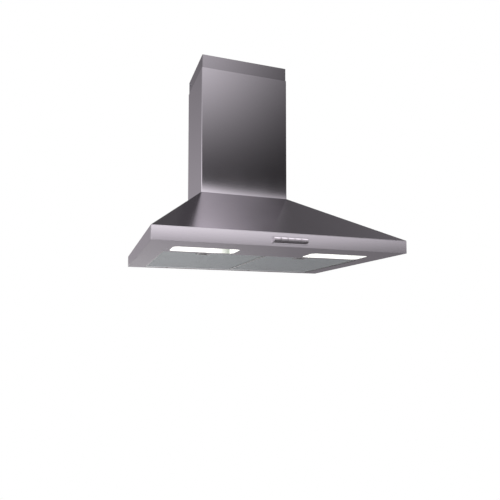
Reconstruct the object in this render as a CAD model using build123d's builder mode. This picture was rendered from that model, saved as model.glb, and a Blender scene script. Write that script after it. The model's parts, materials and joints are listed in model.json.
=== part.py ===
from build123d import *
from math import acos, cos, degrees, hypot, radians, sin
import os

# Wall mount range hood. Millimetres, +Z up, wall at y = 0, front towards -Y.
# The origin is on the wall, in the middle of the hood, level with the lip's lower edge.

# Outer form
hood_width = 600.0
hood_depth = 490.0
lip_height = 30.0
canopy_rise = 161.0
chimney_width = 250.0
chimney_depth = 178.0
lower_chimney_length = 347.0
upper_chimney_length = 340.0
upper_chimney_showing = 37.0

# Sheet metal
sheet = 0.8
fold_radius = 1.6
back_sheet = 1.2
bracket_sheet = 1.5
return_flange = 14.0

# Clearances
seam_gap = 0.2
slide_gap = 0.6
shaft_gap = 0.05
press_gap = 0.02
screw_gap = 0.1

# Wall holes
wall_hole_radius = 4.0
wall_hole_spacing_x = 300.0
wall_hole_spacing_z = 60.0
wall_hole_low = 60.0

# Underside
side_rail_width = 47.0
light_panel_depth = 152.0
rear_rail_depth = 9.0
front_flange_height = 6.0
rail_flange_height = 9.0
rear_web_height = 16.0
hook_height = 5.0

# Lamps
lamp_spacing = 330.0
lamp_setback = 105.0
lamp_window_length = 152.0
lamp_window_width = 66.0
lamp_window_corner = 12.0
lens_rim = 4.0
lens_thickness = 1.5
lens_gap = 0.3
lamp_housing_height = 44.0
lamp_ear_length = 10.0
lamp_ear_width = 12.0
bulb_radius = 17.0
bulb_length = 82.0
bulb_waist = 32.0
bulb_wall = 1.0
bulb_cap_radius = 6.9
bulb_cap_length = 22.0
bulb_cap_seated = 20.0
holder_radius = 12.0
holder_flange_radius = 16.0
holder_flange = 3.0
holder_length = 36.0
holder_bore_depth = 24.0
holder_gap = 0.3

# Buttons
button_names = ("button_light", "button_stop", "button_speed_1", "button_speed_2", "button_speed_3")
button_pitch = 16.2
button_width = 15.2
button_height = 10.2
button_level = 13.8
button_proud = 9.0
button_travel = 4.0
button_over_travel = 1.0
button_heel = 3.5
button_facet_depth = 2.0
button_facet_height = 3.4
button_edge = 0.8
button_gap = 0.3
bezel_wall = 1.0
bezel_rim = 2.0
bezel_rim_thickness = 1.0
bezel_neck = 9.0
switch_depth = 26.0
switch_wall = 2.0
switch_margin = 6.0
stem_width = 6.4
stem_height = 4.4
stem_length = 18.0
button_spring_radius = 1.5
button_spring_wire = 0.25
button_spring_turns = 5

# Grease filters
filter_thickness = 9.0
filter_lift = 0.5
filter_gap = 0.6
filter_bar = 12.0
filter_lip = 2.5
filter_sheet = 1.0
filter_rear = 11.0
mesh_thickness = 2.4
mesh_columns = 12
mesh_rows = 23
mesh_web = 1.6
mesh_gap = 0.2
mesh_border = 2.0
hinge_radius = 2.0
hinge_setback = 16.0
hinge_level = 5.0
hinge_spacing = 126.0
hinge_block_width = 16.0
hinge_block_depth = 16.0
hinge_block_wall = 2.0
lug_thickness = 2.0
lug_radius = 4.0
lug_gap = 0.8

# Filter latches
latch_width = 26.0
latch_aside = 26.0
latch_depth = 14.0
latch_thickness = 2.8
latch_travel = 5.5
latch_gap = 0.4
latch_wall = 3.0
latch_spring_space = 10.0
latch_ledge = 4.0
ridge_depth = 3.0
ridge_setback = 9.0
tongue_width = 14.0
tongue_thickness = 2.0
tongue_reach = 4.5
latch_spring_radius = 1.2
latch_spring_wire = 0.25
latch_spring_turns = 4

# Blower
scroll_radius = 80.0
scroll_growth = 9.0
scroll_wall = 2.0
scroll_half_width = 50.0
scroll_ear_radius = 6.0
scroll_ear_offset = 4.5
scroll_ear_thickness = 3.0
blower_clearance = 7.0
outlet_neck = 20.0
outlet_flange = 8.0
inlet_radius = 54.0
impeller_radius = 66.0
impeller_half_width = 40.0
impeller_disc = 3.0
impeller_ring = 2.0
impeller_ring_width = 6.0
blade_count = 32
blade_thickness = 1.4
blade_start = 50.0
blade_middle = (58.5, 1.2)
blade_end = (65.0, 6.5)
hub_radius = 14.0
hub_length = 24.0
shaft_radius = 4.0
shaft_tail = 3.0
motor_radius = 42.0
motor_length = 48.0
motor_stand_off = 6.0
motor_edge = 5.0
bush_radius = 8.0
bush_length = 8.0
motor_ring = 4.0
motor_ring_length = 12.0
motor_ring_offset = 14.0
motor_arm_width = 10.0
motor_arm_count = 3
motor_leg_radius = 66.0
motor_leg = 3.0
motor_foot = 14.0
motor_foot_sheet = 2.0
hanger_half_width = 40.0
hanger_foot = 16.0
hanger_height = 60.0
hanger_lift = 15.0

# Outlet collar and damper
collar_radius = 60.0
collar_wall = 1.5
collar_length = 45.0
collar_plate = 2.0
collar_plate_size = 132.0
collar_plate_corner = 6.0
flap_thickness = 1.0
flap_gap = 1.2
flap_level = 20.0
flap_seat = 3.5
flap_seat_thickness = 2.0
pin_radius = 1.5
knuckle_radius = 3.0
knuckle_length = 15.0
knuckle_step = 18.0
knuckle_spread = 50.0

# Electrics
box_width = 50.0
box_depth = 30.0
box_height = 46.0
box_wall = 2.0
box_x = -93.0
box_level = 132.0
box_boss_radius = 4.0
box_screw_x = 18.0
box_screw_z = 16.0
gland_bore = 4.0
gland_thread = 6.0
gland_thread_length = 8.0
gland_nut = 9.5
gland_nut_height = 8.0
gland_lock_height = 4.0
gland_dome = 7.5
gland_dome_height = 10.0
capacitor_radius = 14.0
capacitor_length = 60.0
capacitor_gap = 0.3
capacitor_x = 95.0
capacitor_level = 122.0
clip_height = 12.0
clip_foot = 10.0

# Chimney seat and bracket
seat_sheet = 1.2
seat_above = 15.0
seat_below = 10.0
seat_corner = 2.5
bracket_height = 26.0
bracket_drop = 2.0
bracket_half_width = 104.0
bracket_step = 8.0
bracket_reach = 30.0
bracket_hole_radius = 3.0
bracket_hole_spacing = 140.0
vent_columns = 2
vent_rows = 7
vent_length = 46.0
vent_width = 4.0
vent_spacing = 60.0
vent_pitch = 9.0
vent_drop = 48.0

# Screws
screw_radius = 2.0
screw_head_radius = 3.5
screw_head_height = 2.2
screw_tail = 1.0
recess_length = 4.4
recess_width = 1.0
recess_depth = 1.3

# Derived levels and lines
canopy_top = lip_height + canopy_rise
lower_chimney_top = canopy_top + lower_chimney_length
upper_chimney_top = lower_chimney_top + upper_chimney_showing
side_run = (hood_width - chimney_width) / 2
front_run = hood_depth - chimney_depth
side_inset = sheet * hypot(side_run, canopy_rise) / canopy_rise
front_inset = sheet * hypot(front_run, canopy_rise) / canopy_rise
fixed_inset = sheet + seam_gap
panel_half_width = hood_width / 2 - fixed_inset
panel_front = -(hood_depth - fixed_inset)
panel_inside = -(back_sheet + seam_gap)
bay_half_width = hood_width / 2 - side_rail_width
bay_front = -(hood_depth - light_panel_depth)
screw_hole = screw_radius + screw_gap
sides = ((-1, "left"), (1, "right"))
to_wall = (Align.CENTER, Align.MAX)
standing = (Align.CENTER, Align.CENTER, Align.MIN)
hanging = (Align.CENTER, Align.CENTER, Align.MAX)


def block(x, y, z, mode=Mode.ADD):
    """A box between two limits on each axis."""
    with Locations(((x[0] + x[1]) / 2, (y[0] + y[1]) / 2, (z[0] + z[1]) / 2)):
        Box(abs(x[1] - x[0]), abs(y[1] - y[0]), abs(z[1] - z[0]), mode=mode)


def rod(start, direction, radius, length, mode=Mode.ADD):
    """A round bar, or a round hole, that starts at a point and runs one way."""
    with Locations(Plane(origin=start, z_dir=direction)):
        Cylinder(radius, length, align=standing, mode=mode)


def screw(seat, outward, shank):
    """A screw: its cross-recessed head stands on the seat and its shank runs the other way."""
    with Locations(Plane(origin=seat, z_dir=outward)):
        Cylinder(screw_head_radius, screw_head_height, align=standing)
        Cylinder(screw_radius, shank, align=hanging)
    with Locations(Plane(origin=Vector(seat) + Vector(outward) * screw_head_height, z_dir=outward)):
        Box(recess_length, recess_width, recess_depth, align=hanging, mode=Mode.SUBTRACT)
        Box(recess_width, recess_length, recess_depth, align=hanging, mode=Mode.SUBTRACT)


def save(builder, name):
    """Names a finished piece and writes its file."""
    builder.part.label = name
    export_step(builder.part, f"parts/{name}.step")


def canopy_folds(builder):
    """Edges of the canopy form that are folds: not on the wall, the underside or the top."""
    return builder.edges().filter_by(
        lambda edge: edge.center().Y < -sheet and sheet < edge.center().Z < canopy_top - sheet
    )


os.makedirs("parts", exist_ok=True)

# Canopy: lip and pyramid from one sheet, open below, at the wall and at the top
bezel_opening = button_pitch * (len(button_names) - 1) + button_width + 2 * button_gap
bezel_opening_height = button_height + 2 * button_gap
neck_width = bezel_opening + 2 * bezel_wall
neck_height = bezel_opening_height + 2 * bezel_wall

with BuildPart() as canopy_hollow:
    with BuildSketch():
        Rectangle(
            hood_width - 2 * side_inset + 2 * lip_height * side_run / canopy_rise,
            hood_depth - front_inset + lip_height * front_run / canopy_rise,
            align=to_wall,
        )
    with BuildSketch(Plane.XY.offset(canopy_top)):
        Rectangle(chimney_width - 2 * side_inset, chimney_depth - front_inset, align=to_wall)
    loft(ruled=True)
    block(
        (-hood_width / 2 + sheet, hood_width / 2 - sheet),
        (-hood_depth + sheet, 0),
        (0, canopy_top),
        Mode.INTERSECT,
    )

with BuildPart() as canopy_shell:
    with BuildSketch():
        Rectangle(hood_width, hood_depth, align=to_wall)
    extrude(amount=lip_height)
    with BuildSketch(Plane.XY.offset(lip_height)):
        Rectangle(hood_width, hood_depth, align=to_wall)
    with BuildSketch(Plane.XY.offset(canopy_top)):
        Rectangle(chimney_width, chimney_depth, align=to_wall)
    loft(ruled=True)
    fillet(canopy_folds(canopy_shell), fold_radius)
    add(canopy_hollow.part, mode=Mode.SUBTRACT)
    with BuildSketch(Plane.XZ.offset(hood_depth)):
        with Locations((0, button_level)):
            Rectangle(neck_width + 2 * seam_gap, neck_height + 2 * seam_gap)
    extrude(amount=-2 * sheet, mode=Mode.SUBTRACT)
save(canopy_shell, "canopy_shell")

# Grease filter lines
filter_top = filter_lift + filter_thickness
filter_levels = (filter_lift, filter_top)
filter_front = bay_front + filter_gap
filter_width = bay_half_width - 1.5 * filter_gap
filter_length = -filter_rear - filter_front
filter_x = (filter_width + filter_gap) / 2
hinge_y = -hinge_setback

# Blower lines: three quarter arcs whose centres step round a square, then the outlet upwards
outlet_y = -chimney_depth / 2
outlet_depth = scroll_radius + 3 * scroll_growth
outlet_front = outlet_y - outlet_depth / 2
outlet_rear = outlet_y + outlet_depth / 2
axis_y = outlet_front + scroll_growth / 2
axis_z = filter_top + blower_clearance + scroll_radius + 1.5 * scroll_growth
axis = (axis_y, axis_z)
arc_front = (axis_y - scroll_growth / 2, axis_z - scroll_growth / 2)
arc_below = (axis_y + scroll_growth / 2, axis_z - scroll_growth / 2)
arc_rear = (axis_y + scroll_growth / 2, axis_z + scroll_growth / 2)
outlet_top = arc_front[1] + scroll_radius + outlet_neck
collar_bottom = outlet_top + sheet
collar_plate_top = collar_bottom + collar_plate

# Lines of what is screwed to the back panel
hanger_bottom = arc_rear[1] + hanger_lift
hanger_top = hanger_bottom + hanger_height
hanger_screw_levels = (hanger_bottom + hanger_height / 4, hanger_top - hanger_height / 4)
hanger_screw_x = hanger_half_width / 2
hanger_foot_x = hanger_half_width + hanger_foot / 2
clip_radius = capacitor_radius + seam_gap
clip_foot_x = clip_radius + bracket_sheet + clip_foot / 2
clip_level = capacitor_level + capacitor_length / 2

# Back panel, flush with the wall
with BuildPart() as back_panel:
    with BuildSketch(Plane.XZ):
        with BuildLine():
            Polyline(
                (-hood_width / 2, -fixed_inset),
                (hood_width / 2, -fixed_inset),
                (hood_width / 2, lip_height),
                (chimney_width / 2, canopy_top),
                (-chimney_width / 2, canopy_top),
                (-hood_width / 2, lip_height),
                close=True,
            )
        make_face()
        offset(amount=-fixed_inset, kind=Kind.INTERSECTION, mode=Mode.REPLACE)
        with Locations((0, wall_hole_low + wall_hole_spacing_z / 2)):
            with GridLocations(wall_hole_spacing_x, wall_hole_spacing_z, 2, 2):
                Circle(wall_hole_radius, mode=Mode.SUBTRACT)
        for level in hanger_screw_levels:
            with Locations((-hanger_foot_x, level), (hanger_foot_x, level)):
                Circle(screw_hole, mode=Mode.SUBTRACT)
        with Locations((capacitor_x - clip_foot_x, clip_level), (capacitor_x + clip_foot_x, clip_level)):
            Circle(screw_hole, mode=Mode.SUBTRACT)
    extrude(amount=back_sheet)
save(back_panel, "back_panel")

# Underside: light panel, side rails and rear rail
lamp_y = -(hood_depth - lamp_setback)
lens_length = lamp_window_length + 2 * lens_rim
lens_width = lamp_window_width + 2 * lens_rim
housing_length = lens_length + 2 * seam_gap
housing_width = lens_width + 2 * seam_gap
housing_corner = lamp_window_corner + lens_rim + seam_gap
lamp_ear_x = housing_length / 2 + sheet + lamp_ear_length / 2

with BuildPart() as light_panel:
    with BuildSketch() as light_plan:
        with Locations((0, bay_front)):
            Rectangle(2 * panel_half_width, bay_front - panel_front, align=to_wall)
        fillet(light_plan.vertices().group_by(Axis.Y)[0], fold_radius)
        for side, name in sides:
            with Locations((side * lamp_spacing / 2, lamp_y)):
                RectangleRounded(lamp_window_length, lamp_window_width, lamp_window_corner, mode=Mode.SUBTRACT)
                with GridLocations(2 * lamp_ear_x, 1, 2, 1):
                    Circle(screw_hole, mode=Mode.SUBTRACT)
    extrude(amount=sheet)
    block(
        (-panel_half_width + fold_radius, panel_half_width - fold_radius),
        (panel_front, panel_front + sheet),
        (0, front_flange_height),
    )
    block((-bay_half_width, bay_half_width), (bay_front - sheet, bay_front), (0, hook_height))
save(light_panel, "light_panel")

for side, name in sides:
    inner, outer = side * bay_half_width, side * panel_half_width
    run = (bay_front + seam_gap, panel_inside)
    with BuildPart() as side_rail:
        block((inner, outer), run, (0, sheet))
        block((inner, inner + side * sheet), run, (0, rail_flange_height))
        block((outer, outer - side * sheet), run, (0, rail_flange_height))
    save(side_rail, f"side_rail_{name}")

lug_x = [side * filter_x + end * hinge_spacing / 2 for side, name in sides for end, tip in sides]
with BuildPart() as rear_rail:
    rail_half_width = bay_half_width - seam_gap
    web_front = panel_inside - sheet
    block((-rail_half_width, rail_half_width), (-rear_rail_depth, panel_inside), (0, sheet))
    block((-rail_half_width, rail_half_width), (web_front, panel_inside), (0, rear_web_height))
    for x in lug_x:
        lug = (x - lug_thickness / 2, x + lug_thickness / 2)
        block(lug, (hinge_y, web_front), (hinge_level - lug_radius, hinge_level + lug_radius))
        rod((lug[0], hinge_y, hinge_level), (1, 0, 0), lug_radius, lug_thickness)
        rod((lug[0], hinge_y, hinge_level), (1, 0, 0), hinge_radius + shaft_gap, lug_thickness, Mode.SUBTRACT)
save(rear_rail, "rear_rail")

# Lamps: lens in the window, housing over it, bulb in a holder at the right-hand end
def bulb_outline(inset):
    """Half outline of a candle bulb with its cap, or of its hollow at an inset."""
    neck = bulb_cap_radius - inset
    widest = (bulb_cap_length + bulb_waist, bulb_radius - inset)
    tip = (bulb_cap_length + bulb_length - inset, 0)
    Polyline(tip, (inset, 0), (inset, neck), (bulb_cap_length, neck))
    Spline((bulb_cap_length, neck), widest, tangents=((2, 1), (1, 0)))
    Spline(widest, tip, tangents=((1, 0), (0, -1)))


lamp_axis_z = sheet + lamp_housing_height / 2
for side, name in sides:
    lamp_x = side * lamp_spacing / 2
    lamp_centre = (lamp_x, lamp_y)
    with BuildPart() as lamp_lens:
        with BuildSketch():
            with Locations(lamp_centre):
                RectangleRounded(
                    lamp_window_length - 2 * lens_gap,
                    lamp_window_width - 2 * lens_gap,
                    lamp_window_corner - lens_gap,
                )
        extrude(amount=sheet)
        with BuildSketch(Plane.XY.offset(sheet)):
            with Locations(lamp_centre):
                RectangleRounded(lens_length, lens_width, lamp_window_corner + lens_rim)
        extrude(amount=lens_thickness)
    save(lamp_lens, f"lamp_lens_{name}")

    with BuildPart() as lamp_housing:
        with BuildSketch(Plane.XY.offset(sheet)):
            with Locations(lamp_centre):
                RectangleRounded(housing_length + 2 * sheet, housing_width + 2 * sheet, housing_corner + sheet)
        extrude(amount=lamp_housing_height)
        block(
            (lamp_x - lamp_ear_x - lamp_ear_length / 2, lamp_x + lamp_ear_x + lamp_ear_length / 2),
            (lamp_y - lamp_ear_width / 2, lamp_y + lamp_ear_width / 2),
            (sheet, 2 * sheet),
        )
        with BuildSketch(Plane.XY.offset(sheet)):
            with Locations(lamp_centre):
                RectangleRounded(housing_length, housing_width, housing_corner)
        extrude(amount=lamp_housing_height - sheet, mode=Mode.SUBTRACT)
        for end, tip in sides:
            rod((lamp_x + end * lamp_ear_x, lamp_y, sheet), (0, 0, 1), screw_hole, sheet, Mode.SUBTRACT)
    save(lamp_housing, f"lamp_housing_{name}")

    holder_end = lamp_x + housing_length / 2 - seam_gap
    holder_mouth = holder_end - holder_length
    with BuildPart() as lamp_holder:
        rod((holder_end, lamp_y, lamp_axis_z), (-1, 0, 0), holder_radius, holder_length)
        rod((holder_end, lamp_y, lamp_axis_z), (-1, 0, 0), holder_flange_radius, holder_flange)
        rod(
            (holder_mouth, lamp_y, lamp_axis_z),
            (1, 0, 0),
            bulb_cap_radius + holder_gap,
            holder_bore_depth,
            Mode.SUBTRACT,
        )
    save(lamp_holder, f"lamp_holder_{name}")

    cap_end = holder_mouth + bulb_cap_seated
    bulb_plane = Plane(origin=(cap_end, lamp_y, lamp_axis_z), x_dir=(-1, 0, 0), z_dir=(0, -1, 0))
    bulb_axis = Axis((cap_end, lamp_y, lamp_axis_z), (-1, 0, 0))
    with BuildPart() as lamp_bulb:
        with BuildSketch(bulb_plane):
            with BuildLine():
                bulb_outline(0)
            make_face()
        revolve(axis=bulb_axis)
        with BuildSketch(bulb_plane):
            with BuildLine():
                bulb_outline(bulb_wall)
            make_face()
        revolve(axis=bulb_axis, mode=Mode.SUBTRACT)
    save(lamp_bulb, f"lamp_bulb_{name}")

# Buttons in the lip, with the bezel that guides them and the switch block behind
neck_rear = -hood_depth + bezel_neck
switch_rear = neck_rear + switch_depth
cap_front = -hood_depth - button_proud
cap_rear = neck_rear - button_travel - button_over_travel
stem_end = cap_rear + stem_length
channel_end = switch_rear - switch_wall
button_bottom = button_level - button_height / 2
button_top = button_level + button_height / 2
button_x = [button_pitch * (i - (len(button_names) - 1) / 2) for i in range(len(button_names))]

with BuildPart() as switch_bezel:
    with BuildSketch(Plane.XZ.offset(hood_depth)):
        with Locations((0, button_level)):
            RectangleRounded(neck_width + 2 * bezel_rim, neck_height + 2 * bezel_rim, bezel_rim)
    extrude(amount=bezel_rim_thickness)
    with BuildSketch(Plane.XZ.offset(hood_depth)):
        with Locations((0, button_level)):
            Rectangle(neck_width, neck_height)
    extrude(amount=-bezel_neck)
    with BuildSketch(Plane.XZ.offset(hood_depth + bezel_rim_thickness)):
        with Locations((0, button_level)):
            Rectangle(bezel_opening, bezel_opening_height)
    extrude(amount=-bezel_rim_thickness - bezel_neck, mode=Mode.SUBTRACT)
save(switch_bezel, "switch_bezel")

with BuildPart() as switch_block:
    switch_half_width = neck_width / 2 + switch_margin
    switch_half_height = neck_height / 2 + switch_wall
    block(
        (-switch_half_width, switch_half_width),
        (neck_rear, switch_rear),
        (button_level - switch_half_height, button_level + switch_half_height),
    )
    for x in button_x:
        half_width = stem_width / 2 + button_gap
        half_height = stem_height / 2 + button_gap
        block(
            (x - half_width, x + half_width),
            (neck_rear, channel_end),
            (button_level - half_height, button_level + half_height),
            Mode.SUBTRACT,
        )
save(switch_block, "switch_block")

for x, name in zip(button_x, button_names):
    with BuildPart() as button:
        with BuildSketch(Plane.YZ.offset(x - button_width / 2)):
            with BuildLine():
                Polyline(
                    (cap_front + button_heel, button_bottom),
                    (cap_rear, button_bottom),
                    (cap_rear, button_top),
                    (cap_front + button_facet_depth, button_top),
                    (cap_front, button_top - button_facet_height),
                    (cap_front, button_bottom + button_heel),
                )
                CenterArc((cap_front + button_heel, button_bottom + button_heel), button_heel, 180, 90)
            make_face()
        extrude(amount=button_width)
        end_edges = button.faces().filter_by(Axis.X).edges()
        fillet(end_edges.filter_by(lambda edge: edge.center().Y < cap_rear - seam_gap), button_edge)
        block(
            (x - stem_width / 2, x + stem_width / 2),
            (cap_rear, stem_end),
            (button_level - stem_height / 2, button_level + stem_height / 2),
        )
    save(button, name)

    spring_start = stem_end + button_spring_wire + seam_gap
    spring_length = channel_end - stem_end - 2 * (button_spring_wire + seam_gap)
    with BuildPart() as button_spring:
        with BuildLine():
            coil = Helix(
                spring_length / button_spring_turns,
                spring_length,
                button_spring_radius,
                center=(x, spring_start, button_level),
                direction=(0, 1, 0),
            )
        with BuildSketch(Plane(origin=coil @ 0, z_dir=coil % 0)):
            Circle(button_spring_wire)
        sweep()
    save(button_spring, name.replace("button", "spring"))

# Grease filters: folded frame, mesh in its channel, hinge bars at the rear, latch at the front
tongue_levels = (hook_height + latch_gap, hook_height + latch_gap + tongue_thickness)
latch_levels = (tongue_levels[1] - latch_thickness, tongue_levels[1])
pocket_front = filter_front + latch_wall
pocket_rear = pocket_front + latch_gap + latch_depth + latch_spring_space
pocket_half_width = latch_width / 2 + latch_gap
latch_front = pocket_front + latch_gap
latch_rear = latch_front + latch_depth
hinge_block_front = -filter_rear - hinge_block_depth

for side, name in sides:
    centre = side * filter_x
    latch_x = centre - latch_aside
    hinge_x = [centre - hinge_spacing / 2, centre + hinge_spacing / 2]
    filter_edges = (centre - filter_width / 2, centre + filter_width / 2)

    with BuildPart() as filter_frame:
        block(filter_edges, (filter_front, -filter_rear), filter_levels)
        block(
            (filter_edges[0] + filter_bar, filter_edges[1] - filter_bar),
            (filter_front + filter_bar, -filter_rear - filter_bar),
            filter_levels,
            Mode.SUBTRACT,
        )
        block(
            (filter_edges[0] + filter_sheet, filter_edges[1] - filter_sheet),
            (filter_front + filter_sheet, -filter_rear - filter_sheet),
            (filter_lift + filter_sheet, filter_top - filter_sheet),
            Mode.SUBTRACT,
        )
        block(
            (filter_edges[0] + filter_lip, filter_edges[1] - filter_lip),
            (filter_front + filter_lip, -filter_rear - filter_bar),
            (filter_lift, filter_lift + filter_sheet),
            Mode.SUBTRACT,
        )
        block(
            (latch_x - pocket_half_width - latch_wall, latch_x + pocket_half_width + latch_wall),
            (filter_front, pocket_rear + latch_wall),
            filter_levels,
        )
        block(
            (latch_x - pocket_half_width, latch_x + pocket_half_width),
            (pocket_front, pocket_rear),
            (latch_levels[0] - latch_gap, latch_levels[1] + latch_gap),
            Mode.SUBTRACT,
        )
        block(
            (latch_x - pocket_half_width + latch_ledge, latch_x + pocket_half_width - latch_ledge),
            (pocket_front, pocket_rear),
            (filter_lift, latch_levels[0]),
            Mode.SUBTRACT,
        )
        block(
            (latch_x - tongue_width / 2 - latch_gap, latch_x + tongue_width / 2 + latch_gap),
            (filter_front, pocket_front),
            (tongue_levels[0] - latch_gap, tongue_levels[1] + latch_gap),
            Mode.SUBTRACT,
        )
        for x in hinge_x:
            notch = (x - lug_thickness / 2 - lug_gap, x + lug_thickness / 2 + lug_gap)
            block(
                (x - hinge_block_width / 2, x + hinge_block_width / 2),
                (hinge_block_front, -filter_rear),
                filter_levels,
            )
            block(notch, (hinge_block_front + hinge_block_wall, -filter_rear), filter_levels, Mode.SUBTRACT)
            bar_start = notch[0] - hinge_radius
            rod((bar_start, hinge_y, hinge_level), (1, 0, 0), hinge_radius, notch[1] - notch[0] + 2 * hinge_radius)
    save(filter_frame, f"filter_frame_{name}")

    mesh_inset = filter_sheet + mesh_gap
    mesh_bottom = filter_lift + filter_sheet + mesh_gap
    net_width = filter_width - 2 * (filter_lip + mesh_border)
    net_length = filter_length - filter_lip - filter_bar - 2 * mesh_border
    cell_width = net_width / mesh_columns
    cell_length = 2 * net_length / (mesh_rows + 1)
    net_x = centre - net_width / 2
    net_y = filter_front + filter_lip + mesh_border
    latch_cut = pocket_half_width + latch_wall + mesh_gap
    latch_cut_rear = pocket_rear + latch_wall + mesh_gap
    hinge_cut = hinge_block_width / 2 + mesh_gap
    hinge_cut_front = hinge_block_front - mesh_gap
    gaps = []
    for row in range(mesh_rows):
        for column in range(mesh_columns - row % 2):
            x = net_x + cell_width * (column + 0.5 + 0.5 * (row % 2))
            y = net_y + cell_length * (row + 1) / 2
            beside_latch = abs(x - latch_x) < latch_cut + cell_width / 2 and y < latch_cut_rear + cell_length / 2
            near_hinge = any(abs(x - bar_x) < hinge_cut + cell_width / 2 for bar_x in hinge_x)
            beside_hinge = near_hinge and y > hinge_cut_front - cell_length / 2
            if not beside_latch and not beside_hinge:
                gaps.append((x, y))
    half_cell = (cell_width / 2 - mesh_web / 2, cell_length / 2 - mesh_web)
    with BuildPart() as filter_mesh:
        with BuildSketch(Plane.XY.offset(mesh_bottom)):
            with Locations((centre, (filter_front - filter_rear) / 2)):
                Rectangle(filter_width - 2 * mesh_inset, filter_length - 2 * mesh_inset)
            with Locations((latch_x, latch_cut_rear)):
                Rectangle(2 * latch_cut, latch_cut_rear - filter_front, align=to_wall, mode=Mode.SUBTRACT)
            with Locations(*[(x, -filter_rear) for x in hinge_x]):
                Rectangle(2 * hinge_cut, -filter_rear - hinge_cut_front, align=to_wall, mode=Mode.SUBTRACT)
            with Locations(*gaps):
                Polygon(
                    (-half_cell[0], 0),
                    (0, -half_cell[1]),
                    (half_cell[0], 0),
                    (0, half_cell[1]),
                    mode=Mode.SUBTRACT,
                )
        extrude(amount=mesh_thickness)
    save(filter_mesh, f"filter_mesh_{name}")

    ridge_front = latch_front + ridge_setback
    ridge_half_width = latch_width / 2 - latch_ledge - latch_gap
    with BuildPart() as filter_latch:
        block((latch_x - latch_width / 2, latch_x + latch_width / 2), (latch_front, latch_rear), latch_levels)
        block(
            (latch_x - tongue_width / 2, latch_x + tongue_width / 2),
            (filter_front - tongue_reach, latch_front),
            tongue_levels,
        )
        block(
            (latch_x - ridge_half_width, latch_x + ridge_half_width),
            (ridge_front, ridge_front + ridge_depth),
            (filter_lift + latch_gap, latch_levels[0]),
        )
    save(filter_latch, f"filter_latch_{name}")

    latch_spring_start = latch_rear + latch_spring_wire + seam_gap
    latch_spring_length = pocket_rear - latch_rear - 2 * (latch_spring_wire + seam_gap)
    with BuildPart() as latch_spring:
        with BuildLine():
            coil = Helix(
                latch_spring_length / latch_spring_turns,
                latch_spring_length,
                latch_spring_radius,
                center=(latch_x, latch_spring_start, sum(latch_levels) / 2),
                direction=(0, 1, 0),
            )
        with BuildSketch(Plane(origin=coil @ 0, z_dir=coil % 0)):
            Circle(latch_spring_wire)
        sweep()
    save(latch_spring, f"latch_spring_{name}")


# Blower: scroll in two halves, split at x = 0
def scroll_outline(inset):
    """Outline of the scroll, or of its hollow at an inset: down from the outlet, round and back up."""
    start = degrees(acos(inset / (scroll_radius - inset)))
    first = CenterArc(arc_front, scroll_radius - inset, start, 180 - start)
    CenterArc(arc_below, scroll_radius + scroll_growth - inset, 180, 90)
    last = CenterArc(arc_rear, scroll_radius + 2 * scroll_growth - inset, 270, 90)
    Polyline(last @ 1, (outlet_rear - inset, outlet_top), (outlet_front + inset, outlet_top), first @ 0)


def on_circle(centre, radius, angle):
    """Point in the blower's plane at an angle from the rear, counted upwards."""
    return (centre[0] + radius * cos(radians(angle)), centre[1] + radius * sin(radians(angle)))


ear_points = [
    on_circle(arc_front, scroll_radius + scroll_ear_offset, 135),
    on_circle(arc_below, scroll_radius + scroll_growth + scroll_ear_offset, 225),
    on_circle(arc_rear, scroll_radius + 2 * scroll_growth + scroll_ear_offset, 315),
]
motor_screw_radius = motor_leg_radius + motor_leg + motor_foot / 2
motor_screw_points = [on_circle(axis, motor_screw_radius, 90 + 360 * i / motor_arm_count) for i in range(motor_arm_count)]
collar_screw_x = scroll_half_width + outlet_flange / 2
collar_screw_y = (outlet_depth + outlet_flange) / 2

for side, name in sides:
    with BuildPart() as scroll_half:
        with BuildSketch(Plane.YZ):
            with BuildLine():
                scroll_outline(0)
            make_face()
        extrude(amount=side * scroll_half_width)
        for point in ear_points:
            rod((0, *point), (side, 0, 0), scroll_ear_radius, scroll_ear_thickness)
        block(
            (0, side * (scroll_half_width + outlet_flange)),
            (outlet_front - outlet_flange, outlet_rear + outlet_flange),
            (outlet_top - scroll_wall, outlet_top),
        )
        with BuildSketch(Plane.YZ):
            with BuildLine():
                scroll_outline(scroll_wall)
            make_face()
        extrude(amount=side * (scroll_half_width - scroll_wall), mode=Mode.SUBTRACT)
        inlet = (side * (scroll_half_width - scroll_wall), axis_y, axis_z)
        rod(inlet, (side, 0, 0), inlet_radius, scroll_wall, Mode.SUBTRACT)
        for point in ear_points:
            rod((0, *point), (side, 0, 0), screw_hole, scroll_ear_thickness, Mode.SUBTRACT)
        for level in hanger_screw_levels:
            hole = (side * hanger_screw_x, outlet_rear, level)
            rod(hole, (0, -1, 0), screw_hole, scroll_wall, Mode.SUBTRACT)
        for end, tip in sides:
            hole = (side * collar_screw_x, outlet_y + end * collar_screw_y, outlet_top)
            rod(hole, (0, 0, -1), screw_hole, scroll_wall, Mode.SUBTRACT)
        if side > 0:
            for point in motor_screw_points:
                rod((scroll_half_width, *point), (-1, 0, 0), screw_hole, scroll_wall, Mode.SUBTRACT)
    save(scroll_half, f"scroll_{name}_half")

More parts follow.
